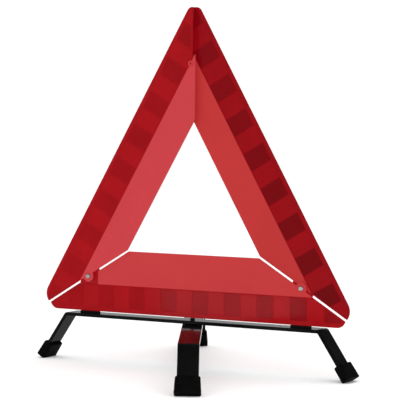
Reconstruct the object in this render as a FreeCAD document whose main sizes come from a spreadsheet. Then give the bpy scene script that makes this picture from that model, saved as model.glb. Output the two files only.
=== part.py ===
import FreeCAD, Part

import os
import re

import Sketcher

# Folding warning triangle on a crossed-strip stand, in millimetres.
# +X runs along the base bar, the front faces -Y, +Z is up.
# The origin is on the floor under the stand's centre pivot.
#
# The three bars lie in three layers, one behind another along Y: the left arm in
# front, the base bar in the middle and the right arm at the back, so that both arms
# fold flat over the base bar. Each bar is drawn lying down, with its outer edge on
# local Z = 0 and its layer centred on local Y = 0, and is then turned to its side.

DIMENSIONS = {
    # triangle outline
    "side": 460.0,            # theoretical side, with sharp corners
    "bar_width": 78.2,        # outer edge to inner edge
    "arm_strip": 37.2,        # width of the reflector on an arm
    "base_strip": 33.5,       # reflector on the base bar, above the triangle's side line
    "base_drop": 1.6,         # base bar's outer edge below the triangle's side line
    "foot_corner": 21.5,      # corner cut back along each side, at the two lower corners
    "apex_corner": 10.0,      # the same at the apex
    "arm_round": 17.0,        # outer corner radius of an arm's lower end
    "base_round": 11.0,       # outer corner radius of the base bar
    "apex_round": 8.0,        # outer corner radius at the apex
    "tip_round": 1.2,         # small radius where a corner meets the gap
    "fine_tip_round": 0.3,    # the same at the apex and on the shells
    "apex_shell_round": 4.0,  # outer corner radius of a shell at the apex
    # slanted gaps at the lower corners, as offsets of each bar's end from the bisector
    "base_low": 2.7,
    "base_high": 0.25,
    "arm_low": -1.2,
    "arm_high": 1.25,
    # apex ends, as offsets from the centre line
    "front_lens_end": 0.0,
    "front_panel_end": -3.6,
    "rear_low": -5.3,
    "rear_high": -9.0,
    # layers
    "bar_depth": 4.0,
    "layer_pitch": 4.4,
    "lens_depth": 1.6,
    "panel_recess": 0.5,      # panel's face behind the lens's face
    "panel_depth": 1.6,
    "rib_depth": 1.2,
    "rib_width": 2.0,
    "rib_inset": 2.5,
    "cross_rib_pitch": 40.0,
    "cross_rib_gap": 1.0,     # from the shelf of the housing
    "housing_inset": 1.2,
    "wall": 1.2,
    "back_wall": 1.0,
    "hollow_end": 16.0,       # solid end of the tray, along the gap's normal
    "shelf": 9.0,             # how far the housing reaches behind the panel
    # arm hinges
    "pin_x": 152.6,
    "pin_z": 43.8,
    "pin_radius": 2.0,
    "rivet_head_radius": 3.4,
    "rivet_head_depth": 1.4,
    "clinch_radius": 3.6,
    "clinch_depth": 0.8,
    "running_fit": 0.05,
    "side_gap": 0.3,          # free play between moving faces
    "washer_radius": 5.5,
    "washer_depth": 0.4,
    "lobe_radius": 7.2,
    "boss_radius": 6.0,
    "rear_eye_radius": 16.0,
    "rear_eye_depth": 1.9,
    "tab_front": 2.0,         # front of the base bar's left hinge tab, from the layer's face
    "tab_depth": 1.2,
    "tab_reach": 12.5,        # tab's far edge beyond the pin
    "tab_shoulder": 10.0,
    "pocket_x": 140.0,        # where the base panel starts, right of the left hinge
    "tab_end_x": 137.6,
    "tab_end_rise": 4.2,      # tab's straight end above the pin
    "tab_peak_x": 140.0,
    "tab_peak_rise": 10.4,
    # apex catch
    "catch_x": -2.0,
    "catch_z": 318.8,
    "socket_radius": 3.8,
    "socket_bore": 2.0,
    "socket_depth": 7.3,
    "socket_proud": 0.3,      # socket's face in front of the lens
    "socket_face": 2.2,       # closed end of the socket, dimpled in front
    "dimple_radius": 1.5,
    "dimple_depth": 1.4,
    "stud_radius": 1.7,
    "stud_flange_radius": 3.2,
    "stud_flange_depth": 1.0,
    "stud_clinch_depth": 0.8,
    "stud_reach": 2.0,        # stud's tip in front of the middle of the base layer
    # stand
    "base_line": 66.6,        # height of the triangle's lower side line
    "strip_gap": 4.2,         # triangle's side line to long strip
    "strip_width": 25.6,
    "strip_depth": 4.4,
    "long_bend_x": 182.0,
    "cross_bend_x": 198.5,
    "leg_lean": 34.0,
    "bend_outside": 5.6,
    "bend_inside": 1.2,
    "cross_angle": 62.0,      # cross strip's front half, turned from +X towards the front
    "pivot_radius": 2.5,
    "pivot_head_radius": 3.1,
    "pivot_head_height": 2.2,
    "pivot_clinch_radius": 4.2,
    "pivot_clinch_depth": 1.2,
    "spacer_radius": 11.0,
    "spacer_depth": 0.5,
    "pivot_washer_radius": 8.0,
    "pivot_washer_depth": 0.4,
    # mounting blocks between the base bar and the long strip
    "block_x": 152.5,
    "block_length": 25.0,
    "block_width": 12.0,
    "block_round": 2.0,
    "tongue_length": 20.0,
    "tongue_depth": 1.1,
    "tongue_height": 12.0,
    "tongue_front": 1.75,     # from the base bar's front face
    "slot_clearance": 0.15,
    "screw_radius": 1.2,
    "screw_head_radius": 2.2,
    "screw_head_depth": 1.0,
    "screw_height": 6.8,      # above the triangle's side line
    "strip_rivet_radius": 1.6,
    "strip_rivet_head_radius": 3.2,
    "strip_rivet_head_depth": 1.3,
    "strip_rivet_grip": 2.0,  # reach into the block
    # rubber boots
    "boot_width_top": 29.5,
    "boot_width_sole": 32.0,
    "boot_depth": 12.5,
    "boot_height": 21.5,
    "boot_round": 3.0,
    "boot_lip_round": 2.0,
    "sole_round": 1.2,
    "sole_depth": 3.0,
    "sole_flat": 0.8,         # height cut level at the edge that stands on the floor
    "boot_fit": 0.1,
}

doc = FreeCAD.newDocument("warning_triangle")
sheet = doc.addObject("Spreadsheet::Sheet", "Sizes")
for row, (alias, number) in enumerate(DIMENSIONS.items(), start=1):
    sheet.set(f"A{row}", alias)
    sheet.set(f"B{row}", str(number))
    sheet.setAlias(f"B{row}", alias)
doc.recompute()

ALIAS = re.compile(r"\b(" + "|".join(sorted(DIMENSIONS, key=len, reverse=True)) + r")\b")
ABOUT_Y = FreeCAD.Vector(0, 1, 0)
ABOUT_X = FreeCAD.Vector(1, 0, 0)
ABOUT_Z = FreeCAD.Vector(0, 0, 1)
parts = []


def cells(text):
    """An expression on the sheet, from one that names its aliases alone."""
    return ALIAS.sub(r"Sizes.\1", text)


def bind(feature, path, text):
    feature.setExpression(path, cells(text))


# ---------------------------------------------------------------- sketches and features

def new_body(name):
    body = doc.addObject("PartDesign::Body", name)
    body.Label = name
    parts.append(body)
    return body


def new_sketch(body, role, offset="0"):
    """A sketch on one of the body's origin planes, moved by offset along its normal."""
    plane = [item for item in body.Origin.OriginFeatures if item.Role == role][0]
    sketch = body.newObject("Sketcher::SketchObject", body.Name + "_sketch")
    sketch.AttachmentSupport = [(plane, "")]
    sketch.MapMode = "FlatFace"
    bind(sketch, "AttachmentOffset.Base.z", offset)
    return sketch


def place_point(sketch, geometry, point, position):
    """Fix one point of a sketch's geometry at two distances from the sketch's origin."""
    for axis, text in zip(("DistanceX", "DistanceY"), position):
        index = sketch.addConstraint(Sketcher.Constraint(axis, -1, 1, geometry, point, 1.0))
        bind(sketch, f"Constraints[{index}]", text)


def draw_polygon(sketch, corners):
    count = len(corners)
    start = sketch.GeometryCount
    rough = [FreeCAD.Rotation(ABOUT_Z, 360.0 * step / count).multVec(ABOUT_X) for step in range(count)]
    for step in range(count):
        sketch.addGeometry(Part.LineSegment(rough[step] * 10, rough[(step + 1) % count] * 10))
    for step in range(count):
        after = start + (step + 1) % count
        sketch.addConstraint(Sketcher.Constraint("Coincident", start + step, 2, after, 1))
    for step, corner in enumerate(corners):
        place_point(sketch, start + step, 1, corner)


def draw_circle(sketch, centre, radius):
    circle = sketch.addGeometry(Part.Circle(FreeCAD.Vector(1, 1, 0), ABOUT_Z, 1.0))
    place_point(sketch, circle, 3, centre)
    index = sketch.addConstraint(Sketcher.Constraint("Radius", circle, 1.0))
    bind(sketch, f"Constraints[{index}]", radius)


def sweep_sketch(body, sketch, length, cut=False, reverse=False, midplane=False):
    kind = "PartDesign::Pocket" if cut else "PartDesign::Pad"
    before = body.Shape.Volume if cut else 0.0
    feature = body.newObject(kind, body.Name + ("_cut" if cut else "_pad"))
    feature.Profile = sketch
    feature.Midplane = midplane
    feature.Reversed = reverse
    bind(feature, "Length", length)
    doc.recompute()
    if cut and body.Shape.Volume > before - 1e-3:
        raise RuntimeError(f"{feature.Name} removes nothing")
    return feature


def plate(body, shape, front, depth, cut=False):
    """Material, or a cut, parallel to the bar's face: front is measured from that face."""
    sketch = new_sketch(body, "XZ_Plane", f"bar_depth/2 - ({front})")
    if len(shape) == 2:
        draw_circle(sketch, *shape)
    else:
        draw_polygon(sketch, shape)
    return sweep_sketch(body, sketch, depth, cut=cut, reverse=not cut)


def round_edges(body, radius, wanted):
    """Fillet the edges of the body whose middle point satisfies wanted."""
    doc.recompute()
    base = body.Tip
    names = []
    for index, edge in enumerate(body.Shape.Edges, start=1):
        middle = edge.valueAt((edge.FirstParameter + edge.LastParameter) / 2)
        if wanted(edge, middle):
            names.append(f"Edge{index}")
    fillet = body.newObject("PartDesign::Fillet", body.Name + "_round")
    fillet.Base = (base, names)
    bind(fillet, "Radius", radius)
    doc.recompute()
    if not names or not fillet.isValid():
        raise RuntimeError(f"{fillet.Name} rounds {len(names)} edges and fails")


def along(edge, direction):
    """Whether a straight edge runs along a direction."""
    if edge.Curve.TypeId != "Part::GeomLine":
        return False
    return abs(abs(edge.tangentAt(edge.FirstParameter).dot(direction)) - 1) < 1e-6


def turned(name, steps):
    """A piece turned about local Z: steps are (radius, height) corners of its half section."""
    body = new_body(name)
    sketch = new_sketch(body, "XZ_Plane")
    draw_polygon(sketch, steps)
    feature = body.newObject("PartDesign::Revolution", name + "_turn")
    feature.Profile = sketch
    feature.ReferenceAxis = (sketch, ["V_Axis"])
    feature.Angle = 360
    doc.recompute()
    return body


def stepped_pin(levels):
    """Half section of a solid pin from (height, radius) pairs, bottom first."""
    corners = [("0", levels[0][0])]
    for (low, radius), (high, _) in zip(levels, levels[1:]):
        corners += [(radius, low), (radius, high)]
    return corners + [("0", levels[-1][0])]


def ring(inner, outer, low, high):
    return [(inner, low), (outer, low), (outer, high), (inner, high)]


# ---------------------------------------------------------------- bar outlines

class End:
    """One end of a bar: its slanted cut, the corner cut back and the corner's radius.

    low and high are the cut's offsets from the corner's bisector at the outer and
    the inner edge, corner is the length cut back along the side. radius and
    shell_radius round the corner of the lens and of the shell behind it, and tip
    rounds the point where the lens meets the cut. drop is how far the outer edge
    lies outside the triangle's side line.
    """

    def __init__(self, low, high, corner, radius, shell_radius, tip, drop="0"):
        self.low = low
        self.high = high
        self.corner = corner
        self.radius = radius
        self.shell_radius = shell_radius
        self.tip = tip
        self.drop = drop

    def offset(self, height, inset):
        return f"({self.low} + ({self.high} - ({self.low}))*({height})/bar_width + {inset})"

    def cut_x(self, height, inset="0"):
        """Distance from the middle of the side to the cut, at a height over the outer edge."""
        return f"(side/2 - ({height})*tan(60) - 2*{self.offset(height, inset)})"

    def nose(self, inset="0"):
        """Corner points, from the outer edge to the cut."""
        base_x = f"(side/2 - {self.corner} - ({inset})*tan(30))"
        edge = f"({inset} - {self.drop})"
        reach = f"({self.corner}/2 + {self.drop}*cos(30) - ({self.low}))"
        length = f"({reach} - ({inset})*(1 + tan(30)))"
        return [(base_x, edge), (f"({base_x} + {length}/2)", f"({edge} + {length}*cos(30))")]


def mirrored(points):
    return [(f"-({x})", z) for x, z in points]


def strip_outline(left, right, high, inset="0"):
    """Outline from the outer edge up to a height, with the bar's outer corners."""
    lower = mirrored(left.nose(inset))[::-1] + right.nose(inset)
    return lower + [(right.cut_x(high, inset), high), (f"-{left.cut_x(high, inset)}", high)]


def band_outline(left, right, low, high, inset="0"):
    """Outline between two heights away from the outer edge."""
    return [
        (f"-{left.cut_x(low, inset)}", low),
        (right.cut_x(low, inset), low),
        (right.cut_x(high, inset), high),
        (f"-{left.cut_x(high, inset)}", high),
    ]


def block_outline(middle, half_length, low, high):
    return [
        (f"({middle}) - ({half_length})", low),
        (f"({middle}) + ({half_length})", low),
        (f"({middle}) + ({half_length})", high),
        (f"({middle}) - ({half_length})", high),
    ]


BASE_SHELL = "base_round - 2*housing_inset"
ARM_SHELL = "arm_round - housing_inset"
APEX_ROUNDS = ("apex_corner", "apex_round", "apex_shell_round", "fine_tip_round")
BASE_END = End("base_low", "base_high", "foot_corner", "base_round", BASE_SHELL, "tip_round", "base_drop")
ARM_END = End("arm_low", "arm_high", "foot_corner", "arm_round", ARM_SHELL, "tip_round")
FRONT_LENS_APEX = End("front_lens_end", "front_lens_end", *APEX_ROUNDS)
FRONT_PANEL_APEX = End("front_panel_end", "front_panel_end", *APEX_ROUNDS)
REAR_APEX = End("rear_low", "rear_high", *APEX_ROUNDS)

# pin and catch positions in an arm's own lying-down frame
ARM_PIN_X = "(side/2 - (side/2 - pin_x)*cos(60) - pin_z*sin(60))"
ARM_PIN_Z = "((side/2 - pin_x)*sin(60) - pin_z*cos(60))"
APEX_DROP = "(side*sin(60) - catch_z)"
LEFT_CATCH_X = f"-(side/2 - {APEX_DROP}*cos(30) + catch_x*sin(30))"
LEFT_CATCH_Z = f"({APEX_DROP}*sin(30) + catch_x*cos(30))"
RIGHT_CATCH_X = f"(side/2 - {APEX_DROP}*cos(30) - catch_x*sin(30))"
RIGHT_CATCH_Z = f"({APEX_DROP}*sin(30) - catch_x*cos(30))"

PANEL_BACK = "(panel_recess + panel_depth)"
HOLE_RADIUS = "(pin_radius + running_fit)"


def round_corner(body, end, sign, shell=False):
    """Round the outer corner at one end of a lens, or of the shell behind it, and the tip."""
    inset = DIMENSIONS["housing_inset"] if shell else 0.0
    edge_z = inset - DIMENSIONS.get(end.drop, 0.0)
    corner_x = sign * (DIMENSIONS["side"] / 2 - DIMENSIONS[end.corner] - inset / 3 ** 0.5)

    def outer(edge, middle):
        return along(edge, ABOUT_Y) and abs(middle.z - edge_z) < 0.01 and abs(middle.x - corner_x) < 0.01

    def tip(edge, middle):
        beyond = sign * middle.x > sign * corner_x + 0.5
        return along(edge, ABOUT_Y) and edge_z + 1.0 < middle.z < 30 and beyond and edge.Length > 0.5

    round_edges(body, "fine_tip_round" if shell else end.tip, tip)
    round_edges(body, end.shell_radius if shell else end.radius, outer)


# ---------------------------------------------------------------- bar pieces

def make_lens(name, left, right, strip):
    """Moulded front lens of the reflector, a flat plate with the bar's outer corners."""
    body = new_body(name)
    plate(body, strip_outline(left, right, strip), "0", "lens_depth")
    round_corner(body, left, -1)
    round_corner(body, right, 1)
    return body


def panel_ribs(body, left, right, strip):
    """Stiffening ribs behind the panel: one along the bar's inner edge and five across."""
    top = "(bar_width - rib_inset)"
    low = f"({top} - rib_width)"
    plate(body, band_outline(left, right, low, top, "4*rib_inset"), PANEL_BACK, "rib_depth")
    foot = f"({strip} + shelf + cross_rib_gap)"
    for step in range(-2, 3):
        across = block_outline(f"{step}*cross_rib_pitch", "rib_width/2", foot, top)
        plate(body, across, PANEL_BACK, "rib_depth")


def make_housing(name, left, right, strip):
    """Back shell: a tray behind the lens and a shelf behind the panel's outer part."""
    body = new_body(name)
    outline = strip_outline(left, right, strip, "housing_inset")
    plate(body, outline, "lens_depth", "bar_depth - lens_depth")
    round_corner(body, left, -1, shell=True)
    round_corner(body, right, 1, shell=True)
    shelf_top = f"({strip} + shelf)"
    outline = band_outline(left, right, strip, shelf_top, "housing_inset")
    plate(body, outline, PANEL_BACK, f"bar_depth - {PANEL_BACK}")
    floor = f"(housing_inset + wall - {left.drop})"
    hollow = band_outline(left, right, floor, f"({strip} - wall)", "hollow_end")
    plate(body, hollow, "lens_depth", "bar_depth - lens_depth - back_wall", cut=True)
    return body


def seat_on_side(body, turn, layer):
    """Turn a lying-down piece about the triangle's centre and put it in its layer."""
    size = DIMENSIONS
    inradius = size["side"] / (2 * 3 ** 0.5)
    centre = FreeCAD.Vector(0, 0, inradius)
    lift = FreeCAD.Vector(0, layer * size["layer_pitch"], size["base_line"])
    body.Placement = FreeCAD.Placement(lift, FreeCAD.Rotation(ABOUT_Y, turn), centre)


def make_base_bar():
    pin = ("pin_x", "pin_z")
    left_pin = ("-pin_x", "pin_z")
    lens = make_lens("base_reflector_lens", BASE_END, BASE_END, "base_strip")

    slope = "(tan(60) + 2*(base_high - base_low)/bar_width)"
    pocket_top = f"((side/2 - pocket_x - 2*base_low)/{slope})"
    panel = new_body("base_fluorescent_panel")
    outline = [
        ("-pocket_x", "base_strip"),
        (BASE_END.cut_x("base_strip"), "base_strip"),
        (BASE_END.cut_x("bar_width"), "bar_width"),
        ("-" + BASE_END.cut_x("bar_width"), "bar_width"),
        ("-pocket_x", pocket_top),
    ]
    plate(panel, outline, "panel_recess", "panel_depth")
    plate(panel, (pin, "lobe_radius"), "panel_recess", "panel_depth")
    panel_ribs(panel, BASE_END, BASE_END, "base_strip")
    plate(panel, (pin, HOLE_RADIUS), "0", "bar_depth", cut=True)

    housing = make_housing("base_housing", BASE_END, BASE_END, "base_strip")
    tab = [
        ("-" + BASE_END.cut_x("base_strip"), "base_strip"),
        ("-tab_end_x", "base_strip"),
        ("-tab_end_x", "pin_z + tab_end_rise"),
        ("-tab_peak_x", "pin_z + tab_peak_rise"),
        ("-pin_x", "pin_z + tab_shoulder"),
        ("-pin_x - tab_reach", "pin_z"),
    ]
    plate(housing, tab, PANEL_BACK, f"tab_front + tab_depth - {PANEL_BACK}")
    plate(housing, (left_pin, "boss_radius + 1"), "tab_front", "tab_depth")
    plate(housing, (pin, "boss_radius + 1"), PANEL_BACK, f"bar_depth - {PANEL_BACK}")
    plate(housing, (left_pin, "clinch_radius + side_gap"), "tab_front + tab_depth", "bar_depth", cut=True)
    for centre in (pin, left_pin):
        plate(housing, (centre, HOLE_RADIUS), "0", "bar_depth", cut=True)
    for sign in ("-", ""):
        middle = f"{sign}block_x"
        slot_top = "2*(housing_inset + wall) - base_drop"
        slot = block_outline(middle, "tongue_length/2 + slot_clearance", "-base_drop", slot_top)
        plate(housing, slot, "lens_depth", "bar_depth - lens_depth - back_wall", cut=True)
        screw = ((middle, "screw_height"), "screw_radius + running_fit")
        plate(housing, screw, "lens_depth", "bar_depth", cut=True)
    for body in (lens, panel, housing):
        seat_on_side(body, 0, 0)


def make_left_arm():
    """Front layer. Lying down, its hinge is at the right end and the apex at the left."""
    pin = (ARM_PIN_X, ARM_PIN_Z)
    catch = (LEFT_CATCH_X, LEFT_CATCH_Z)
    lens = make_lens("left_arm_reflector_lens", FRONT_LENS_APEX, ARM_END, "arm_strip")
    plate(lens, (catch, "socket_radius + running_fit"), "0", "lens_depth", cut=True)

    panel = new_body("left_arm_fluorescent_panel")
    outline = band_outline(FRONT_PANEL_APEX, ARM_END, "arm_strip", "bar_width")
    plate(panel, outline, "panel_recess", "panel_depth")
    plate(panel, (pin, "lobe_radius"), "panel_recess", "panel_depth")
    panel_ribs(panel, FRONT_PANEL_APEX, ARM_END, "arm_strip")
    plate(panel, (pin, HOLE_RADIUS), "0", "bar_depth", cut=True)
    plate(panel, (catch, "socket_radius + running_fit"), "0", "bar_depth", cut=True)

    housing = make_housing("left_arm_housing", FRONT_LENS_APEX, ARM_END, "arm_strip")
    boss_end = "(layer_pitch + tab_front - washer_depth - side_gap)"
    plate(housing, (pin, "boss_radius"), PANEL_BACK, f"{boss_end} - {PANEL_BACK}")
    plate(housing, (pin, HOLE_RADIUS), "0", "2*layer_pitch", cut=True)
    plate(housing, (catch, "socket_radius + running_fit"), "0", "bar_depth", cut=True)
    for body in (lens, panel, housing):
        seat_on_side(body, 120, -1)


def make_right_arm():
    """Back layer. Lying down, its hinge is at the left end and the apex at the right."""
    pin = (f"-{ARM_PIN_X}", ARM_PIN_Z)
    catch = (RIGHT_CATCH_X, RIGHT_CATCH_Z)
    lens = make_lens("right_arm_reflector_lens", ARM_END, REAR_APEX, "arm_strip")

    panel = new_body("right_arm_fluorescent_panel")
    outline = band_outline(ARM_END, REAR_APEX, "arm_strip", "bar_width")
    plate(panel, outline, "panel_recess", "panel_depth")
    panel_ribs(panel, ARM_END, REAR_APEX, "arm_strip")
    plate(panel, (pin, "boss_radius + side_gap"), "0", "bar_depth", cut=True)
    plate(panel, (catch, "stud_radius + running_fit"), "0", "bar_depth", cut=True)

    housing = make_housing("right_arm_housing", ARM_END, REAR_APEX, "arm_strip")
    plate(housing, (pin, "rear_eye_radius"), PANEL_BACK, "rear_eye_depth")
    plate(housing, (pin, "boss_radius"), "side_gap", "bar_depth - side_gap")
    plate(housing, (pin, HOLE_RADIUS), "0", "bar_depth", cut=True)
    plate(housing, (catch, "stud_radius + running_fit"), "0", "bar_depth", cut=True)
    for body in (lens, panel, housing):
        seat_on_side(body, -120, 1)


# ---------------------------------------------------------------- arm hinges and apex catch

# Heights here are distances in front of the middle of the base bar's layer.
LEFT_FACE = "(layer_pitch + bar_depth/2 - panel_recess)"
BASE_FACE = "(bar_depth/2 - panel_recess)"
RIGHT_BACK = "(-layer_pitch - bar_depth/2)"
TAB_FACE = "(bar_depth/2 - tab_front)"
TAB_BACK = "(bar_depth/2 - tab_front - tab_depth)"


def dome_edge(radius, height):
    """Pick the circular edge of a given radius at a given height on a turned piece."""
    def wanted(edge, middle):
        same_height = abs(middle.z - height) < 0.01
        return same_height and abs((middle.x ** 2 + middle.y ** 2) ** 0.5 - radius) < 0.01
    return wanted


def point_forward(body, x, z):
    """Lay a turned piece along Y, its top facing the front, at a place on the triangle."""
    lift = FreeCAD.Vector(x, 0, z + DIMENSIONS["base_line"])
    body.Placement = FreeCAD.Placement(lift, FreeCAD.Rotation(ABOUT_X, 90))


def make_hinge(name, sign, head_seat, clinch_seat):
    """Hinge rivet: a domed head in front, a clinched end at the back."""
    rivet = turned(name, stepped_pin([
        (f"{clinch_seat} - clinch_depth", "clinch_radius"),
        (clinch_seat, "pin_radius"),
        (head_seat, "rivet_head_radius"),
        (f"{head_seat} + rivet_head_depth", "0"),
    ]))
    top = max(vertex.Z for vertex in rivet.Shape.Vertexes)
    round_edges(rivet, "rivet_head_depth*0.8", dome_edge(DIMENSIONS["rivet_head_radius"], top))
    point_forward(rivet, sign * DIMENSIONS["pin_x"], DIMENSIONS["pin_z"])


def make_washer(name, sign, low):
    washer = turned(name, ring(HOLE_RADIUS, "washer_radius", low, f"{low} + washer_depth"))
    point_forward(washer, sign * DIMENSIONS["pin_x"], DIMENSIONS["pin_z"])


def make_hinges():
    make_hinge("left_hinge_rivet", -1, f"({LEFT_FACE} + side_gap)", TAB_BACK)
    make_washer("left_hinge_washer", -1, TAB_FACE)
    rear_seat = f"({RIGHT_BACK} - side_gap - washer_depth)"
    make_hinge("right_hinge_rivet", 1, BASE_FACE, rear_seat)
    make_washer("right_hinge_front_washer", 1, "(-bar_depth/2 - washer_depth)")
    make_washer("right_hinge_rear_washer", 1, rear_seat)


def make_catch():
    """Apex catch: a stud on the right arm enters a blind socket in the left arm."""
    face = "(layer_pitch + bar_depth/2 + socket_proud)"
    open_end = f"({face} - socket_depth)"
    closed_end = f"({face} - socket_face)"
    dimple = f"({face} - dimple_depth)"
    socket = turned("apex_socket", [
        ("0", closed_end),
        ("socket_bore", closed_end),
        ("socket_bore", open_end),
        ("socket_radius", open_end),
        ("socket_radius", face),
        ("dimple_radius", face),
        ("dimple_radius", dimple),
        ("0", dimple),
    ])
    point_forward(socket, DIMENSIONS["catch_x"], DIMENSIONS["catch_z"])

    panel_face = "(-layer_pitch + bar_depth/2 - panel_recess)"
    stud = turned("apex_stud", stepped_pin([
        (f"{RIGHT_BACK} - stud_clinch_depth", "stud_flange_radius"),
        (RIGHT_BACK, "stud_radius"),
        (panel_face, "stud_flange_radius"),
        (f"{panel_face} + stud_flange_depth", "stud_radius"),
        ("stud_reach", "0"),
    ]))
    tip = dome_edge(DIMENSIONS["stud_radius"], DIMENSIONS["stud_reach"])
    round_edges(stud, "stud_radius*0.6", tip)
    point_forward(stud, DIMENSIONS["catch_x"], DIMENSIONS["catch_z"])


# ---------------------------------------------------------------- stand

STRIP_TOP = "(base_line - strip_gap)"
LONG_MIDDLE = f"({STRIP_TOP} - strip_depth/2)"
CROSS_DROP = "(strip_depth + spacer_depth + side_gap)"
CROSS_MIDDLE = f"({LONG_MIDDLE} - {CROSS_DROP})"


def half_strip(bend_x, middle):
    """Section of the right half of a strip, from the top middle round to the bottom."""
    mitre = "strip_depth/2*tan((90 - leg_lean)/2)"
    length = f"(({middle} - boot_depth/2*sin(leg_lean))/cos(leg_lean) - sole_depth)"
    end_x = f"({bend_x} + {length}*sin(leg_lean))"
    end_z = f"({middle} - {length}*cos(leg_lean))"
    half_x = "strip_depth/2*cos(leg_lean)"
    half_z = "strip_depth/2*sin(leg_lean)"
    return [
        (f"({bend_x} + {mitre})", f"({middle} + strip_depth/2)"),
        (f"({end_x} + {half_x})", f"({end_z} + {half_z})"),
        (f"({end_x} - {half_x})", f"({end_z} - {half_z})"),
        (f"({bend_x} - {mitre})", f"({middle} - strip_depth/2)"),
    ]


def make_strip(name, bend_x, middle, holes):
    """Flat steel strip bent down into a leg at each end."""
    body = new_body(name)
    right = half_strip(bend_x, middle)
    sketch = new_sketch(body, "XZ_Plane")
    draw_polygon(sketch, right + mirrored(right)[::-1])
    sweep_sketch(body, sketch, "strip_width", midplane=True)
    strip_middle = body.Shape.BoundBox.ZMax - DIMENSIONS["strip_depth"] / 2

    def above(edge, middle_point):
        bend = along(edge, ABOUT_Y) and abs(middle_point.x) > DIMENSIONS[bend_x] - 3
        return bend and 0 < middle_point.z - strip_middle

    def below(edge, middle_point):
        bend = along(edge, ABOUT_Y) and abs(middle_point.x) < DIMENSIONS[bend_x] + 1
        return bend and -DIMENSIONS["strip_depth"] < middle_point.z - strip_middle < 0

    round_edges(body, "bend_outside", above)
    round_edges(body, "bend_inside", below)
    for x, radius in holes:
        sketch = new_sketch(body, "XY_Plane", f"{middle} - strip_depth")
        draw_circle(sketch, (x, "0"), radius)
        sweep_sketch(body, sketch, "2*strip_depth", cut=True, reverse=True)
    return body


def make_boot(name, bend_x, middle, turn):
    """Rubber cap on a leg's end, drawn upright on its sole and leaned with the leg."""
    body = new_body(name)
    sketch = new_sketch(body, "YZ_Plane")
    draw_polygon(sketch, [
        ("-boot_width_sole/2", "0"),
        ("boot_width_sole/2", "0"),
        ("boot_width_top/2", "boot_height"),
        ("-boot_width_top/2", "boot_height"),
    ])
    sweep_sketch(body, sketch, "boot_depth", midplane=True)

    def upright(edge, point):
        return 0.5 < point.z < DIMENSIONS["boot_height"] - 0.5

    def lip(edge, point):
        return point.z > DIMENSIONS["boot_height"] - 0.01

    def sole(edge, point):
        return point.z < 0.01

    round_edges(body, "boot_round", upright)
    round_edges(body, "boot_lip_round", lip)
    round_edges(body, "sole_round", sole)

    slot = new_sketch(body, "XY_Plane", "sole_depth")
    half_x = "(strip_depth/2 + boot_fit)"
    half_y = "(strip_width/2 + boot_fit)"
    draw_polygon(slot, [
        (f"-{half_x}", f"-{half_y}"), (half_x, f"-{half_y}"), (half_x, half_y), (f"-{half_x}", half_y)])
    sweep_sketch(body, slot, "boot_height", cut=True, reverse=True)

    level = new_sketch(body, "XZ_Plane")
    reach_x = "(-boot_depth/2 - 2)"
    draw_polygon(level, [
        (reach_x, "-2"),
        ("(-boot_depth/2 + sole_flat/sin(leg_lean) + 2/tan(leg_lean))", "-2"),
        (reach_x, "(sole_flat/cos(leg_lean) + 2*tan(leg_lean))"),
    ])
    sweep_sketch(body, level, "2*boot_width_sole", cut=True, midplane=True)

    size = DIMENSIONS
    lean = FreeCAD.Rotation(ABOUT_Y, -size["leg_lean"])
    sole_height = -lean.multVec(FreeCAD.Vector(-size["boot_depth"] / 2, 0, 0)).z - size["sole_flat"]
    up_leg = lean.multVec(ABOUT_Z)
    run = (middle - sole_height) / up_leg.z
    foot = FreeCAD.Vector(size[bend_x], 0, middle) - up_leg * run
    around = FreeCAD.Placement(FreeCAD.Vector(0, 0, 0), FreeCAD.Rotation(ABOUT_Z, turn))
    body.Placement = around.multiply(FreeCAD.Placement(foot, lean))


def make_stand_pivot():
    """Vertical rivet with its washers, which joins the two strips at their middles."""
    long_low = f"({LONG_MIDDLE} - strip_depth/2)"
    cross_low = f"({CROSS_MIDDLE} - strip_depth/2)"
    lower_washer = f"({cross_low} - side_gap - pivot_washer_depth)"
    rivet = turned("stand_pivot_rivet", stepped_pin([
        (f"{lower_washer} - pivot_clinch_depth", "pivot_clinch_radius"),
        (lower_washer, "pivot_radius"),
        (STRIP_TOP, "pivot_head_radius"),
        (f"{STRIP_TOP} + pivot_head_height", "0"),
    ]))
    top = rivet.Shape.BoundBox.ZMax
    round_edges(rivet, "pivot_head_radius*0.3", dome_edge(DIMENSIONS["pivot_head_radius"], top))
    bore = "(pivot_radius + running_fit)"
    turned("stand_pivot_spacer_washer", ring(
        bore, "spacer_radius", f"{long_low} - spacer_depth", long_low))
    turned("stand_pivot_lower_washer", ring(
        bore, "pivot_washer_radius", lower_washer, f"{lower_washer} + pivot_washer_depth"))


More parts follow.
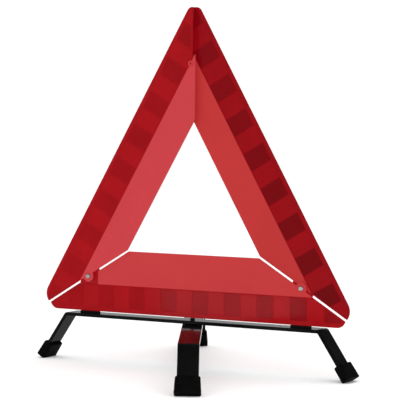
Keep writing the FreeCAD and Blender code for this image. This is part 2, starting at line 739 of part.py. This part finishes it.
def make_mount(side, sign):
    """Block that holds the base bar over the long strip, with its screw and rivet."""
    middle = f"{sign}block_x"
    place_x = float(sign + "1") * DIMENSIONS["block_x"]
    body = new_body(f"{side}_mount_block")
    sketch = new_sketch(body, "XY_Plane", STRIP_TOP)
    half_x = "block_length/2"
    half_y = "block_width/2"
    draw_polygon(sketch, [
        (f"{middle} - {half_x}", f"-{half_y}"),
        (f"{middle} + {half_x}", f"-{half_y}"),
        (f"{middle} + {half_x}", half_y),
        (f"{middle} - {half_x}", half_y),
    ])
    sweep_sketch(body, sketch, "strip_gap - base_drop")
    round_edges(body, "block_round", lambda edge, point: along(edge, ABOUT_Z))
    tongue_foot = "base_line - base_drop - 1"
    tongue = block_outline(middle, "tongue_length/2", tongue_foot, "base_line + tongue_height")
    plate(body, tongue, "tongue_front", "tongue_depth")
    screw_hole = ((middle, "base_line + screw_height"), "screw_radius + running_fit")
    plate(body, screw_hole, "tongue_front - 1", "tongue_depth + 2", cut=True)
    hole = new_sketch(body, "XY_Plane", f"{STRIP_TOP} - 1")
    draw_circle(hole, (middle, "0"), "strip_rivet_radius + running_fit")
    sweep_sketch(body, hole, "strip_rivet_grip + 1", cut=True, reverse=True)

    screw = turned(f"{side}_block_screw", stepped_pin([
        ("(-bar_depth/2 - screw_head_depth)", "screw_head_radius"),
        ("(-bar_depth/2)", "screw_radius"),
        ("(bar_depth/2 - tongue_front)", "0"),
    ]))
    low = screw.Shape.BoundBox.ZMin
    round_edges(screw, "screw_head_depth*0.6", dome_edge(DIMENSIONS["screw_head_radius"], low))
    point_forward(screw, place_x, DIMENSIONS["screw_height"])

    seat = f"({STRIP_TOP} - strip_depth)"
    rivet = turned(f"{side}_strip_rivet", stepped_pin([
        (f"{seat} - strip_rivet_head_depth", "strip_rivet_head_radius"),
        (seat, "strip_rivet_radius"),
        (f"{STRIP_TOP} + strip_rivet_grip", "0"),
    ]))
    low = rivet.Shape.BoundBox.ZMin
    round_edges(rivet, "strip_rivet_head_depth*0.7", dome_edge(DIMENSIONS["strip_rivet_head_radius"], low))
    rivet.Placement = FreeCAD.Placement(FreeCAD.Vector(place_x, 0, 0), FreeCAD.Rotation())


def make_stand():
    size = DIMENSIONS
    long_middle = size["base_line"] - size["strip_gap"] - size["strip_depth"] / 2
    cross_middle = long_middle - size["strip_depth"] - size["spacer_depth"] - size["side_gap"]
    pivot = ("0", "pivot_radius + running_fit")
    rivet = "strip_rivet_radius + running_fit"
    make_strip("long_strip", "long_bend_x", LONG_MIDDLE, [pivot, ("block_x", rivet), ("-block_x", rivet)])
    cross = make_strip("cross_strip", "cross_bend_x", CROSS_MIDDLE, [pivot])
    turn = -size["cross_angle"]
    cross.Placement = FreeCAD.Placement(FreeCAD.Vector(0, 0, 0), FreeCAD.Rotation(ABOUT_Z, turn))
    make_boot("long_strip_left_boot", "long_bend_x", long_middle, 180)
    make_boot("long_strip_right_boot", "long_bend_x", long_middle, 0)
    make_boot("cross_strip_front_boot", "cross_bend_x", cross_middle, turn)
    make_boot("cross_strip_rear_boot", "cross_bend_x", cross_middle, turn + 180)
    make_stand_pivot()
    make_mount("left", "-")
    make_mount("right", "+")


# ---------------------------------------------------------------- assembly

def check_document():
    for item in doc.Objects:
        if "Invalid" in item.State or "Error" in item.State:
            raise RuntimeError(f"{item.Name} failed: {item.State}")
    for body in parts:
        shape = body.Shape
        if shape.isNull() or not shape.isValid() or len(shape.Solids) != 1:
            raise RuntimeError(f"{body.Label} is not one valid solid")


make_base_bar()
make_left_arm()
make_right_arm()
make_hinges()
make_catch()
make_stand()
doc.recompute()
check_document()
os.makedirs("parts", exist_ok=True)
for body in parts:
    body.Shape.exportStep(f"parts/{body.Label}.step")
    box = body.Shape.BoundBox
    print(f"{body.Label:30s} {body.Shape.Volume / 1000:8.2f} cm3  x {box.XMin:.1f} {box.XMax:.1f}"
          f"  y {box.YMin:.1f} {box.YMax:.1f}  z {box.ZMin:.1f} {box.ZMax:.1f}")
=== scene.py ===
import math
import random

import bmesh
import bpy
from mathutils import Matrix, Vector


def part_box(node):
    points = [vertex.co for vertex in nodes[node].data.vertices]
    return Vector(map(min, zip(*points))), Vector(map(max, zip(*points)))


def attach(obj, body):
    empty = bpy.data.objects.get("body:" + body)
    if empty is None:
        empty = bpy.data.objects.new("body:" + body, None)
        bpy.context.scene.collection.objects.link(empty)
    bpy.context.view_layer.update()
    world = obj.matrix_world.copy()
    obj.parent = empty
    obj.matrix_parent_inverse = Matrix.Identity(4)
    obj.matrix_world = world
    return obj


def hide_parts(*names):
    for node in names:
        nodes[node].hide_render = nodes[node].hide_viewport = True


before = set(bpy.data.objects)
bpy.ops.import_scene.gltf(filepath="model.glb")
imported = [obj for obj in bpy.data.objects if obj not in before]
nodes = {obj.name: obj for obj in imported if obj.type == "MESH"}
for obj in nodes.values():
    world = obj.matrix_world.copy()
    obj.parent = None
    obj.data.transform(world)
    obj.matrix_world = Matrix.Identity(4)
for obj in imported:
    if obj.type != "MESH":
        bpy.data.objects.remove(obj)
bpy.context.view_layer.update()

# Folding warning triangle, in metres, in the CAD frame: +X along the base bar, the front faces -Y,
# +Z up. The three reflector lenses are replaced by moulded ones with sunk prism blocks. All other
# nodes keep their CAD mesh and get a material, and the two stand strips also get softened edges.

MM = 0.001
random.seed(11)

SIDE = 0.460                                  # theoretical side of the triangle
CENTRE_HEIGHT = SIDE / (2 * math.sqrt(3))     # from each side to the triangle's centre
BASE_DROP = 1.6 * MM                          # base bar's outer edge below the triangle's side
BASE_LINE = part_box("base_reflector_lens")[0].z + BASE_DROP

# degrees from a bar laid down to its place in the triangle
TURNS = {"base": 0.0, "left_arm": 120.0, "right_arm": -120.0}


# ------------------------------------------------------------------ shader helpers

def material(name):
    made = bpy.data.materials.new(name)
    made.use_nodes = True
    tree = made.node_tree
    return made, tree, tree.nodes["Principled BSDF"]


def add(tree, kind, **values):
    node = tree.nodes.new(kind)
    for key, value in values.items():
        setattr(node, key, value)
    return node


def join(tree, source, target):
    tree.links.new(source, target)


def math_node(tree, operation, *values):
    node = add(tree, "ShaderNodeMath", operation=operation)
    for socket, value in zip(node.inputs, values):
        if isinstance(value, (int, float)):
            socket.default_value = value
        else:
            join(tree, value, socket)
    return node.outputs[0]


def ramp(tree, factor, stops):
    node = add(tree, "ShaderNodeValToRGB")
    elements = node.color_ramp.elements
    while len(elements) < len(stops):
        elements.new(0.5)
    for element, (position, colour) in zip(elements, stops):
        element.position = position
        element.color = (*colour, 1.0)
    join(tree, factor, node.inputs["Fac"])
    return node.outputs["Color"]


def grey(value):
    return (value, value, value)


def noise(tree, vector, scale, detail, roughness=0.5):
    node = add(tree, "ShaderNodeTexNoise")
    node.inputs["Scale"].default_value = scale
    node.inputs["Detail"].default_value = detail
    node.inputs["Roughness"].default_value = roughness
    join(tree, vector, node.inputs["Vector"])
    return node.outputs["Fac"]


def clouds(tree, vector, scale, detail, low, high):
    """Soft grey clouds between two tones."""
    return ramp(tree, noise(tree, vector, scale, detail), [(0.3, grey(low)), (0.7, grey(high))])


def object_place(tree):
    return add(tree, "ShaderNodeTexCoord").outputs["Object"]


def split(tree, vector):
    node = add(tree, "ShaderNodeSeparateXYZ")
    join(tree, vector, node.inputs["Vector"])
    return node.outputs


def mix_colour(tree, factor, first, second, blend="MIX"):
    node = add(tree, "ShaderNodeMix", data_type="RGBA", blend_type=blend)
    sockets = (node.inputs[0], node.inputs[6], node.inputs[7])
    for socket, value in zip(sockets, (factor, first, second)):
        if isinstance(value, (int, float)):
            socket.default_value = value
        elif isinstance(value, tuple):
            socket.default_value = (*value, 1.0)
        else:
            join(tree, value, socket)
    return node.outputs[2]


def bump(tree, height, distance, strength, normal=None):
    node = add(tree, "ShaderNodeBump")
    node.inputs["Distance"].default_value = distance
    node.inputs["Strength"].default_value = strength
    join(tree, height, node.inputs["Height"])
    if normal is not None:
        join(tree, normal, node.inputs["Normal"])
    return node.outputs["Normal"]


def map_range(tree, value, low, high, new_low, new_high):
    node = add(tree, "ShaderNodeMapRange")
    join(tree, value, node.inputs["Value"])
    for name, number in (("From Min", low), ("From Max", high), ("To Min", new_low), ("To Max", new_high)):
        node.inputs[name].default_value = number
    return node.outputs["Result"]


def set_roughness(tree, shader, factor, low, high):
    """Roughness that follows a noise, from low to high."""
    join(tree, map_range(tree, factor, 0.3, 0.7, low, high), shader.inputs["Roughness"])


def set_colour_with_painted_glow(tree, shader, colour, painted_glow):
    """Colour of a plastic, with painted light: it also glows by the glow amount times its colour."""
    join(tree, colour, shader.inputs["Base Color"])
    join(tree, colour, shader.inputs["Emission Color"])
    shader.inputs["Emission Strength"].default_value = painted_glow


# ------------------------------------------------------------------ bar coordinates

ON_FACE = 0.01 * MM       # a point this near to the front face is on it
STRAIGHT = 1e-12          # square metres: a smaller turn of an outline is straight on


def hull(points):
    """Convex hull of sorted points by monotone chain, anticlockwise."""
    def chain(ordered):
        kept = []
        for p in ordered:
            while len(kept) > 1:
                (ax, az), (bx, bz) = kept[-2:]
                if (bx - ax) * (p[1] - az) - (bz - az) * (p[0] - ax) > STRAIGHT:
                    break
                kept.pop()
            kept.append(p)
        return kept
    lower = chain(points)
    upper = chain(points[::-1])
    return lower[:-1] + upper[:-1]


class Bar:
    """A bar laid down: x along it, y into it from the front face, z inwards from its outer edge."""

    def __init__(self, body):
        self.body = body
        self.lens_node = body + "_reflector_lens"
        turn = Matrix.Rotation(math.radians(-TURNS[body]), 4, "Y")
        lens = [turn @ v.co for v in nodes[self.lens_node].data.vertices]
        low = Vector([min(p[axis] for p in lens) for axis in range(3)])
        high = Vector([max(p[axis] for p in lens) for axis in range(3)])
        centre = turn @ Vector((0, 0, BASE_LINE + CENTRE_HEIGHT))
        self.to_bar = Matrix.Translation((-centre.x, -low.y, -low.z)) @ turn
        self.depth = high.y - low.y
        self.outline = self.front_outline()
        self.half_span = max(x for x, _ in self.outline)
        self.width = max(z for _, z in self.outline)

    def front_outline(self):
        """The lens's front face as a convex polygon, anticlockwise seen from the front."""
        laid = (self.to_bar @ v.co for v in nodes[self.lens_node].data.vertices)
        points = {(round(p.x, 6), round(p.z, 6)) for p in laid if p.y < ON_FACE}
        return hull(sorted(points))


BARS = {body: Bar(body) for body in TURNS}


def bar_place(tree, bar):
    """Texture place in a bar's laid-down frame, which moves with the piece."""
    mapping = add(tree, "ShaderNodeMapping", vector_type="POINT")
    turn = bar.to_bar.to_euler()
    mapping.inputs["Location"].default_value = bar.to_bar.to_translation()
    mapping.inputs["Rotation"].default_value = (turn.x, turn.y, turn.z)
    join(tree, object_place(tree), mapping.inputs["Vector"])
    return mapping.outputs["Vector"]


# ------------------------------------------------------------------ reflector lens

RIM = 5.4 * MM            # plain rim along the outer edge
END_RIM = 1.6 * MM        # plain margin at the slanted ends
INNER_RIM = 0.9 * MM      # plain margin beside the fluorescent panel
RIDGE = 0.5 * MM          # ridge between two prism blocks
BLOCK_DROP = 0.3 * MM     # prism blocks lie this deep behind the rim
BLOCK_SLOPE = 0.35 * MM   # width of the slope around each block
LEAST_RISE = 12 * MM      # an outline edge that rises more is a slanted end, not a corner's arc
LEAST_BLOCK = 4 * MM * MM # a smaller face stays plain
LENS_EDGE = 0.25 * MM     # rounding of the lens's edges
PLAIN_TONE = 0.5          # tone of rims, ridges and slopes; blocks are near 0 or 1
TONE_SPREAD = 0.06        # how far a block's tone strays

# block length and the middle of one bright block, along each bar
BLOCKS = {
    "base": (23.1 * MM, -11.9 * MM),
    "left_arm": (24.45 * MM, -16.5 * MM),
    "right_arm": (24.4 * MM, -7.3 * MM),
}


def cut(mesh, point, normal):
    bmesh.ops.bisect_plane(
        mesh, geom=mesh.verts[:] + mesh.edges[:] + mesh.faces[:],
        plane_co=point, plane_no=normal, dist=1e-7)


def inset_line(a, b, inset):
    """Point and inward normal of an outline edge moved inwards, for an anticlockwise outline."""
    along = Vector((b[0] - a[0], 0, b[1] - a[1])).normalized()
    inward = Vector((-along.z, 0, along.x))
    return Vector((a[0], 0, a[1])) + inward * inset, inward


def end_margins(bar):
    """Where the plain margins at the bar's slanted ends stop, as points and inward normals."""
    edges = zip(bar.outline, bar.outline[1:] + bar.outline[:1])
    return [inset_line(a, b, END_RIM) for a, b in edges if abs(b[1] - a[1]) > LEAST_RISE]


def cut_pattern(mesh, bar, margins):
    """Cut the front face along its margins and along both sides of each ridge."""
    cut(mesh, (0, 0, RIM), (0, 0, 1))
    cut(mesh, (0, 0, bar.width - INNER_RIM), (0, 0, 1))
    for point, inward in margins:
        cut(mesh, point, inward)
    length, bright = BLOCKS[bar.body]
    reach = max(abs(x) for x, _ in bar.outline)
    first = math.floor((-reach - bright) / length) - 1
    last = math.ceil((reach - bright) / length) + 1
    for step in range(first, last + 1):
        ridge = bright + (step + 0.5) * length
        for side in (-0.5, 0.5):
            cut(mesh, (ridge + side * RIDGE, 0, 0), (1, 0, 0))


def mark_blocks(mesh, bar, margins, tone):
    """Give each face its tone, and return the faces that are prism blocks."""
    length, bright = BLOCKS[bar.body]
    blocks = []
    for face in mesh.faces:
        face[tone] = PLAIN_TONE
        middle = face.calc_center_median()
        inside = RIM < middle.z < bar.width - INNER_RIM
        inside = inside and all((middle - point).dot(inward) > 0 for point, inward in margins)
        place = (middle.x - bright) / length
        step = round(place)
        on_block = abs(place - step) < 0.5 - 0.5 * RIDGE / length
        if inside and on_block and face.calc_area() > LEAST_BLOCK:
            blocks.append(face)
            face[tone] = (1.0 if step % 2 == 0 else 0.0) + random.uniform(-TONE_SPREAD, TONE_SPREAD)
    return blocks


def sink_blocks(mesh, blocks, tone):
    """Push the blocks in behind the rim, with a slope around each."""
    for face in blocks:
        value = face[tone]
        bmesh.ops.inset_individual(mesh, faces=[face], thickness=BLOCK_SLOPE, use_even_offset=True)
        face[tone] = value
        for vert in face.verts:
            vert.co.y += BLOCK_DROP


def close_plate(mesh, depth):
    """Make the front faces into a closed plate with a back and walls."""
    mesh.normal_update()
    front = mesh.faces[:]
    bmesh.ops.reverse_faces(mesh, faces=[f for f in front if f.normal.y > 0])
    back = bmesh.ops.duplicate(mesh, geom=front)["geom"]
    for item in back:
        if isinstance(item, bmesh.types.BMVert):
            item.co.y = depth
    bmesh.ops.reverse_faces(mesh, faces=[item for item in back if isinstance(item, bmesh.types.BMFace)])
    bmesh.ops.bridge_loops(mesh, edges=[e for e in mesh.edges if e.is_boundary])
    bmesh.ops.recalc_face_normals(mesh, faces=mesh.faces[:])


def round_edges(piece, width, angle):
    """Round the edges sharper than an angle in degrees, by a modifier."""
    bevel = piece.modifiers.new("edge", "BEVEL")
    bevel.width = width
    bevel.segments = 2
    bevel.limit_method = "ANGLE"
    bevel.angle_limit = math.radians(angle)


def build_lens(name, bar):
    """One closed plate: a plain rim, and sunk prism blocks with a ridge between them."""
    mesh = bmesh.new()
    mesh.faces.new([mesh.verts.new((x, 0, z)) for x, z in bar.outline])
    margins = end_margins(bar)
    cut_pattern(mesh, bar, margins)
    tone = mesh.faces.layers.float.new("tone")
    sink_blocks(mesh, mark_blocks(mesh, bar, margins, tone), tone)
    close_plate(mesh, bar.depth)
    mesh.transform(bar.to_bar.inverted())
    data = bpy.data.meshes.new(name)
    mesh.to_mesh(data)
    mesh.free()
    piece = bpy.data.objects.new(name, data)
    bpy.context.scene.collection.objects.link(piece)
    round_edges(piece, LENS_EDGE, 50)
    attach(piece, bar.body)
    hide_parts(bar.lens_node)
    return piece


# ------------------------------------------------------------------ materials

# painted light: the red plastics glow though they are no lamps, which lifts the shade in seams, pockets and
# end faces
LENS_PAINTED_GLOW = 1.20          # painted light: glow of a red plastic, in times its own colour
PANEL_PAINTED_GLOW = 0.90
HOUSING_PAINTED_GLOW = 1.60

PRISM_SIZE = 2.6 * MM
PRISM_TURN = 15           # degrees from the bar's length to the first set of prism ridges
FACE_SHARE = 0.25         # share of a block's own tone in its colour; the rest is the soft pattern


def prism_facets(tree, place):
    """Height of a close field of cube-corner prisms: the lowest of three sets of ridges at 60 degrees."""
    heights = []
    for angle in (0, 60, 120):
        turn = math.radians(angle + PRISM_TURN)
        dot = add(tree, "ShaderNodeVectorMath", operation="DOT_PRODUCT")
        join(tree, place, dot.inputs[0])
        dot.inputs[1].default_value = (math.cos(turn) / PRISM_SIZE, 0, math.sin(turn) / PRISM_SIZE)
        heights.append(math_node(tree, "PINGPONG", dot.outputs["Value"], 0.5))
    lowest = math_node(tree, "MINIMUM", heights[0], heights[1])
    return math_node(tree, "MINIMUM", lowest, heights[2])


def lens_material(bar, bright, dark_ends, rim, softness):
    """Red moulded retro-reflector: prism blocks of two tones of painted reflection under a smooth glossy
    face.

    The dark blocks, painted reflection too, change slowly from one end of the bar to the other."""
    made, tree, shader = material("reflector_" + bar.body)
    place = bar_place(tree, bar)
    facets = prism_facets(tree, place)
    along = split(tree, place)["X"]

    # 1 on a bright block and 0 on a dark one, in painted reflection: a soft pattern, and the tone of the
    # face itself
    length, middle = BLOCKS[bar.body]
    step = math_node(tree, "DIVIDE", math_node(tree, "SUBTRACT", along, middle), length)
    pattern = math_node(tree, "PINGPONG", step, 1.0)
    pattern = ramp(tree, pattern, [(0.5 - softness, grey(1.0)), (0.5 + softness, grey(0.0))])
    tone = add(tree, "ShaderNodeAttribute", attribute_name="tone", attribute_type="GEOMETRY").outputs["Fac"]
    pattern = math_node(tree, "MULTIPLY", pattern, 1 - FACE_SHARE)
    amount = math_node(tree, "MULTIPLY_ADD", tone, FACE_SHARE, pattern)
    amount = map_range(tree, amount, 0.05, 0.95, 0.0, 1.0)

    across = map_range(tree, along, -bar.half_span, bar.half_span, 0.0, 1.0)
    dark = ramp(tree, across, [(0.1, dark_ends[0]), (0.9, dark_ends[1])])
    colour = mix_colour(tree, amount, dark, bright)
    plain = ramp(tree, tone, [(0.3, grey(0.0)), (0.42, grey(1.0)), (0.58, grey(1.0)), (0.7, grey(0.0))])
    colour = mix_colour(tree, plain, colour, rim)
    # painted glint and shade: each prism facet is darker where it is low and lighter where it is high
    painted_facet_glint = ramp(tree, facets, [(0.0, grey(0.8)), (0.25, grey(1.0)), (0.5, grey(1.06))])
    colour = mix_colour(tree, 0.6, colour, painted_facet_glint, "MULTIPLY")
    colour = mix_colour(tree, 0.7, colour, clouds(tree, place, 28, 4, 0.9, 1.08), "MULTIPLY")
    # painted light: the lens glows by its own colour
    set_colour_with_painted_glow(tree, shader, colour, LENS_PAINTED_GLOW)

    set_roughness(tree, shader, noise(tree, place, 60, 4), 0.16, 0.3)
    normal = bump(tree, facets, 0.2 * MM, 0.25)
    normal = bump(tree, noise(tree, place, 900, 2), 0.02 * MM, 0.3, normal)
    join(tree, normal, shader.inputs["Normal"])
    shader.inputs["Specular IOR Level"].default_value = 0.015
    shader.inputs["Coat Weight"].default_value = 0.06
    shader.inputs["Coat Roughness"].default_value = 0.10
    return made


def panel_material(bar, colour, far_painted_shade):
    """Fluorescent red plastic with a fine satin grain and faint handling marks.

    Painted shade: its tone changes slowly along the bar, to the given far-end shade at the far end."""
    made, tree, shader = material("fluorescent_" + bar.body)
    place = bar_place(tree, bar)
    base = mix_colour(tree, 1.0, colour, clouds(tree, place, 9, 5, 0.95, 1.04), "MULTIPLY")
    # painted shade: the colour drifts along the bar to the far-end shade
    along = map_range(tree, split(tree, place)["X"], -bar.half_span, bar.half_span, 0.0, 1.0)
    base = mix_colour(tree, along, base, mix_colour(tree, 1.0, base, far_painted_shade, "MULTIPLY"))
    marks = noise(tree, place, 420, 6, 0.7)
    marks = ramp(tree, marks, [(0.62, grey(0.0)), (0.72, grey(0.12))])
    pale = tuple(c * 1.15 + 0.02 for c in colour)
    # painted light: the panel glows by its own colour
    set_colour_with_painted_glow(tree, shader, mix_colour(tree, marks, base, pale), PANEL_PAINTED_GLOW)
    set_roughness(tree, shader, noise(tree, place, 120, 4), 0.42, 0.58)
    grain = add(tree, "ShaderNodeTexVoronoi", feature="SMOOTH_F1")
    grain.inputs["Scale"].default_value = 900
    join(tree, place, grain.inputs["Vector"])
    join(tree, bump(tree, grain.outputs["Distance"], 0.04 * MM, 0.5), shader.inputs["Normal"])
    shader.inputs["Specular IOR Level"].default_value = 0.1
    return made


def moulded_plastic(name, colour, specular, roughness=0.42, painted_glow=0.0):
    """Plastic with a fine grain and slightly uneven colour."""
    made, tree, shader = material(name)
    place = object_place(tree)
    shade = mix_colour(tree, 1.0, colour, clouds(tree, place, 30, 5, 0.9, 1.1), "MULTIPLY")
    # painted light: the plastic glows by the glow amount times its colour
    if painted_glow:
        set_colour_with_painted_glow(tree, shader, shade, painted_glow)
    else:
        join(tree, shade, shader.inputs["Base Color"])
    set_roughness(tree, shader, noise(tree, place, 150, 4), roughness - 0.07, roughness + 0.08)
    join(tree, bump(tree, noise(tree, place, 1400, 3), 0.05 * MM, 0.5), shader.inputs["Normal"])
    shader.inputs["Specular IOR Level"].default_value = specular
    return made


def black_paint():
    """Glossy black paint on flat steel, with a light orange peel and specks of wear at the edges."""
    made, tree, shader = material("black_paint")
    place = object_place(tree)
    wear = noise(tree, place, 260, 6, 0.65)
    edge = add(tree, "ShaderNodeNewGeometry").outputs["Pointiness"]
    edge = map_range(tree, edge, 0.52, 0.62, 0.0, 0.6)
    chips = ramp(tree, math_node(tree, "MULTIPLY", wear, edge), [(0.30, grey(0.0)), (0.36, grey(1.0))])
    coat = clouds(tree, place, 35, 4, 0.0025, 0.005)
    join(tree, mix_colour(tree, chips, coat, (0.05, 0.05, 0.052)), shader.inputs["Base Color"])
    set_roughness(tree, shader, noise(tree, place, 90, 4), 0.06, 0.11)
    join(tree, bump(tree, noise(tree, place, 480, 2), 0.004 * MM, 0.3), shader.inputs["Normal"])
    shader.inputs["Specular IOR Level"].default_value = 0.03
    return made


def rubber():
    """Matte black rubber with a little dust."""
    made, tree, shader = material("black_rubber")
    place = object_place(tree)
    dust = noise(tree, place, 140, 6, 0.6)
    colour = ramp(tree, dust, [(0.35, grey(0.0015)), (0.7, grey(0.0035))])
    join(tree, colour, shader.inputs["Base Color"])
    set_roughness(tree, shader, dust, 0.5, 0.68)
    join(tree, bump(tree, noise(tree, place, 1100, 3), 0.06 * MM, 0.5), shader.inputs["Normal"])
    shader.inputs["Specular IOR Level"].default_value = 0.02
    return made


def steel(name, colour):
    """Bright steel with fine lines, drawn out across the Z axis."""
    made, tree, shader = material(name)
    stretch = add(tree, "ShaderNodeMapping")
    stretch.inputs["Scale"].default_value = (1, 1, 9)
    join(tree, object_place(tree), stretch.inputs["Vector"])
    lines = noise(tree, stretch.outputs["Vector"], 700, 4)
    shade = ramp(tree, lines, [(0.3, tuple(c * 0.8 for c in colour)), (0.7, colour)])
    join(tree, shade, shader.inputs["Base Color"])
    set_roughness(tree, shader, lines, 0.22, 0.40)
    join(tree, bump(tree, lines, 0.02 * MM, 0.4), shader.inputs["Normal"])
    shader.inputs["Metallic"].default_value = 1.0
    return made


def coat_with(made, *names):
    """Give nodes or pieces this one material."""
    for name in names:
        data = bpy.data.objects[name].data
        data.materials.clear()
        data.materials.append(made)


# ------------------------------------------------------------------ bars

# panel colours per bar, with painted shade: one fluorescent plastic, darker on the right arm because less
# light falls there
LIGHT_RED = {
    "base": (0.2750, 0.0215, 0.0240),
    "left_arm": (0.2743, 0.0224, 0.0267),
    "right_arm": (0.2440, 0.0145, 0.0145),
}
# painted shade: how the panel's tone changes towards each bar's far end
FAR_END_PAINTED_SHADE = {
    "base": (0.92, 0.76, 0.72),
    "left_arm": (1.0, 0.97, 0.97),
    "right_arm": (1.04, 1.10, 1.15),
}
# bright blocks, then dark blocks at the bar's two ends: painted reflection and shade, as the blocks are one
# red plastic that differs only with how light falls and returns on each bar
LENS_RED = {
    "base": ((0.1636, 0.0022, 0.0037), (0.1503, 0.0016, 0.0029), (0.1105, 0.0013, 0.0027)),
    "left_arm": ((0.1651, 0.0022, 0.0038), (0.1267, 0.0015, 0.0029), (0.1459, 0.0016, 0.0031)),
    "right_arm": ((0.1326, 0.0012, 0.0028), (0.0693, 0.0004, 0.0013), (0.0958, 0.0007, 0.0021)),
}
RIM_TONE = 0.96           # the rim's colour, in times that of the bright blocks
# how softly a bright block turns into a dark one, in block lengths
SOFTNESS = {"base": 0.07, "left_arm": 0.16, "right_arm": 0.06}

for body, bar in BARS.items():
    lens = build_lens(body + "_moulded_lens", bar)
    bright, *dark_ends = LENS_RED[body]
    rim = tuple(RIM_TONE * c for c in bright)
    coat_with(lens_material(bar, bright, dark_ends, rim, SOFTNESS[body]), lens.name)
    coat_with(panel_material(bar, LIGHT_RED[body], FAR_END_PAINTED_SHADE[body]), body + "_fluorescent_panel")

# painted light: the housings glow, which lifts the shade in the hinge pockets and on the arms' end faces
coat_with(
    moulded_plastic("housing_red", (0.140, 0.0020, 0.0040), specular=0.08, painted_glow=HOUSING_PAINTED_GLOW),
    "base_housing", "left_arm_housing", "right_arm_housing")
# painted light: the apex stud and socket glow like the panels
coat_with(
    moulded_plastic("catch_red", (0.262, 0.0200, 0.0235), specular=0.05, painted_glow=PANEL_PAINTED_GLOW),
    "apex_stud", "apex_socket")

# ------------------------------------------------------------------ fasteners

coat_with(
    steel("rivet_steel", (0.36, 0.33, 0.33)),
    "left_hinge_rivet", "right_hinge_rivet", "left_hinge_washer",
    "right_hinge_front_washer", "right_hinge_rear_washer", "left_block_screw", "right_block_screw")
coat_with(
    moulded_plastic("fastener_black", (0.004, 0.004, 0.004), specular=0.06, roughness=0.35),
    "stand_pivot_rivet", "stand_pivot_spacer_washer", "stand_pivot_lower_washer",
    "left_strip_rivet", "right_strip_rivet")

# ------------------------------------------------------------------ stand

STRIP_EDGE = 0.35 * MM    # rounding of the strips' edges
SAME_PLACE = 0.002 * MM   # mesh points nearer than this are one

coat_with(black_paint(), "long_strip", "cross_strip")
for strip in ("long_strip", "cross_strip"):
    weld = nodes[strip].modifiers.new("weld", "WELD")
    weld.merge_threshold = SAME_PLACE
    round_edges(nodes[strip], STRIP_EDGE, 35)
coat_with(
    moulded_plastic("block_black", (0.004, 0.004, 0.004), specular=0.05, roughness=0.5),
    "left_mount_block", "right_mount_block")
coat_with(
    rubber(),
    "long_strip_left_boot", "long_strip_right_boot", "cross_strip_front_boot", "cross_strip_rear_boot")

# ------------------------------------------------------------------ stage and light

FLOOR_REACH = 30.0        # from the middle of the floor to its edges
WORLD_STRENGTH = 1.08


def floor_material():
    made, tree, shader = material("floor_white")
    colour = clouds(tree, object_place(tree), 3, 3, 0.93, 0.95)
    join(tree, colour, shader.inputs["Base Color"])
    shader.inputs["Roughness"].default_value = 0.9
    shader.inputs["Specular IOR Level"].default_value = 0.0
    return made


def build_floor():
    data = bpy.data.meshes.new("floor")
    corners = [(-1, -1), (1, -1), (1, 1), (-1, 1)]
    data.from_pydata([(x * FLOOR_REACH, y * FLOOR_REACH, 0) for x, y in corners], [], [(0, 1, 2, 3)])
    data.materials.append(floor_material())
    floor = bpy.data.objects.new("floor", data)
    bpy.context.scene.collection.objects.link(floor)


def studio_world():
    """A white room whose ceiling shows dark in glossy surfaces."""
    world = bpy.data.worlds.new("studio")
    bpy.context.scene.world = world
    world.use_nodes = True
    tree = world.node_tree
    background = tree.nodes["Background"]
    background.inputs["Strength"].default_value = WORLD_STRENGTH
    height = split(tree, add(tree, "ShaderNodeTexCoord").outputs["Generated"])["Z"]
    ceiling = ramp(tree, height, [(0.05, grey(1.0)), (0.20, grey(0.12)), (0.85, grey(0.12))])
    glossy = add(tree, "ShaderNodeLightPath").outputs["Is Glossy Ray"]
    join(tree, mix_colour(tree, glossy, grey(1.0), ceiling), background.inputs["Color"])


def softbox(name, place, target, size, power):
    light = bpy.data.lights.new(name, "AREA")
    light.shape = "RECTANGLE"
    light.size, light.size_y = size
    light.energy = power
    box = bpy.data.objects.new(name, light)
    box.location = place
    box.rotation_euler = (Vector(target) - Vector(place)).to_track_quat("-Z", "Y").to_euler()
    bpy.context.scene.collection.objects.link(box)
    box.visible_camera = False


build_floor()
studio_world()
softbox("key", place=(0.7, -2.6, 1.3), target=(0, 0, 0.2), size=(1.8, 1.2), power=10)
softbox("top", place=(0.2, 0.6, 2.2), target=(0, 0, 0.1), size=(1.8, 1.8), power=8)
softbox("side", place=(2.4, -1.3, 0.7), target=(0, 0, 0.25), size=(1.2, 1.2), power=12)
# a small card near the floor, for the pale haze in the base bar's lens
softbox("low_card", place=(-0.222, -0.52, 0.024), target=(-0.222, 0, 0.024), size=(0.25, 0.044), power=0.14)

# ------------------------------------------------------------------ camera

FOCAL_LENGTH = 179.019    # mm, on the sensor below
SENSOR_WIDTH = 36.0       # mm
CAMERA_PLACE = (1.22479, -2.18327, 0.34678)
AZIMUTH = 29.106          # degrees: round the object from its front, down, and about the view
PITCH = 3.034
ROLL = 0.479
FAR_CLIP = 100.0

camera_data = bpy.data.cameras.new("camera")
camera_data.sensor_width = SENSOR_WIDTH
camera_data.lens = FOCAL_LENGTH
camera_data.clip_end = FAR_CLIP
camera = bpy.data.objects.new("camera", camera_data)
camera.location = CAMERA_PLACE
camera.rotation_euler = (
    Matrix.Rotation(math.radians(AZIMUTH), 3, "Z")
    @ Matrix.Rotation(math.radians(90.0 - PITCH), 3, "X")
    @ Matrix.Rotation(math.radians(ROLL), 3, "Z")).to_euler()
bpy.context.scene.collection.objects.link(camera)
bpy.context.scene.camera = camera

bpy.context.scene.view_settings.view_transform = "Standard"
